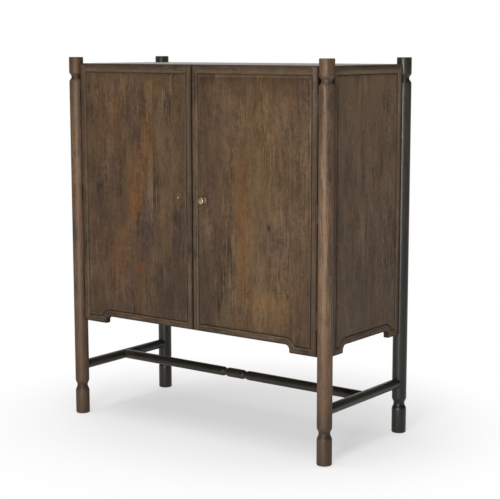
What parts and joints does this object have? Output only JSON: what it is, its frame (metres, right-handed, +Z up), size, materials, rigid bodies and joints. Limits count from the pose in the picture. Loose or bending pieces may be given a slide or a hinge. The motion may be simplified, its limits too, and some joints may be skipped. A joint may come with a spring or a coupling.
{
  "type": "bar armoire",
  "caption": "Bar armoire with framed raised-panel doors and sides between turned posts on an H-stretcher, and shelves, stemware rails and bottle cradles inside.",
  "frame": {"origin": "on the floor, midway between the four posts", "axes": "+Z up, front with the doors towards -Y, +X to the right seen from the front"},
  "size_m": [1.204, 0.5648, 1.4],
  "materials": {
    "door_wood": "rubbed walnut-brown lacquer",
    "post_wood": "satin dark brown lacquer",
    "interior_wood": "matt brown lacquer",
    "dowel_wood": "plain beech",
    "hinge_bronze": "dark patina",
    "knob_brass": "aged, satin",
    "screw_steel": "zinc plated",
    "pin_steel": "nickel plated",
    "strike_steel": "bare",
    "glide_plastic": "moulded",
    "catch_plastic": "moulded",
    "bumper_rubber": "soft, translucent"
  },
  "bodies": {
    "cabinet": {"front_left_post": "post_wood", "rear_left_post": "post_wood", "left_side_stretcher": "post_wood", "left_side_front_stile": "door_wood", "left_side_rear_stile": "door_wood", "left_side_top_rail": "door_wood", "left_side_apron_rail": "door_wood", "left_side_panel": "door_wood", "front_right_post": "post_wood", "rear_right_post": "post_wood", "right_side_stretcher": "post_wood", "right_side_front_stile": "door_wood", "right_side_rear_stile": "door_wood", "right_side_top_rail": "door_wood", "right_side_apron_rail": "door_wood", "right_side_panel": "door_wood", "centre_stretcher": "post_wood", "top_board": "door_wood", "bottom_board": "interior_wood", "back_panel": "interior_wood", "centre_divider": "interior_wood", "left_shelf": "interior_wood", "right_upper_shelf": "interior_wood", "right_lower_shelf": "interior_wood", "stemware_rails": "interior_wood", "front_bottle_cradle": "interior_wood", "rear_bottle_cradle": "interior_wood", "carcass_dowels": "dowel_wood", "back_screws": "screw_steel", "stemware_screws": "screw_steel", "catch_screws": "screw_steel", "shelf_pins": "pin_steel", "frame_leaves": "hinge_bronze", "frame_leaf_screws": "hinge_bronze", "hinge_pins": "hinge_bronze", "floor_glides": "glide_plastic", "magnetic_catches": "catch_plastic", "door_bumpers": "bumper_rubber"},
    "left_door": {"left_door_hinge_stile": "door_wood", "left_door_meeting_stile": "door_wood", "left_door_top_rail": "door_wood", "left_door_apron_rail": "door_wood", "left_door_panel": "door_wood", "left_door_leaves": "hinge_bronze", "left_door_leaf_screws": "hinge_bronze", "left_strike_plate": "strike_steel", "left_strike_screw": "screw_steel"},
    "right_door": {"right_door_hinge_stile": "door_wood", "right_door_meeting_stile": "door_wood", "right_door_top_rail": "door_wood", "right_door_apron_rail": "door_wood", "right_door_panel": "door_wood", "right_door_leaves": "hinge_bronze", "right_door_leaf_screws": "hinge_bronze", "right_strike_plate": "strike_steel", "right_strike_screw": "screw_steel", "knob_screw": "screw_steel", "knob": "knob_brass", "knob_rosette": "knob_brass"}
  },
  "joints": [
    {"name": "left_door_hinge", "type": "hinge", "parent": "cabinet", "child": "left_door", "pos_m": [-0.54755, -0.26485, 0.87825], "axis": [0, 0, -1], "range_deg": [0, 120]},
    {"name": "right_door_hinge", "type": "hinge", "parent": "cabinet", "child": "right_door", "pos_m": [0.54755, -0.26485, 0.87825], "axis": [0, 0, 1], "range_deg": [0, 120]}
  ]
}
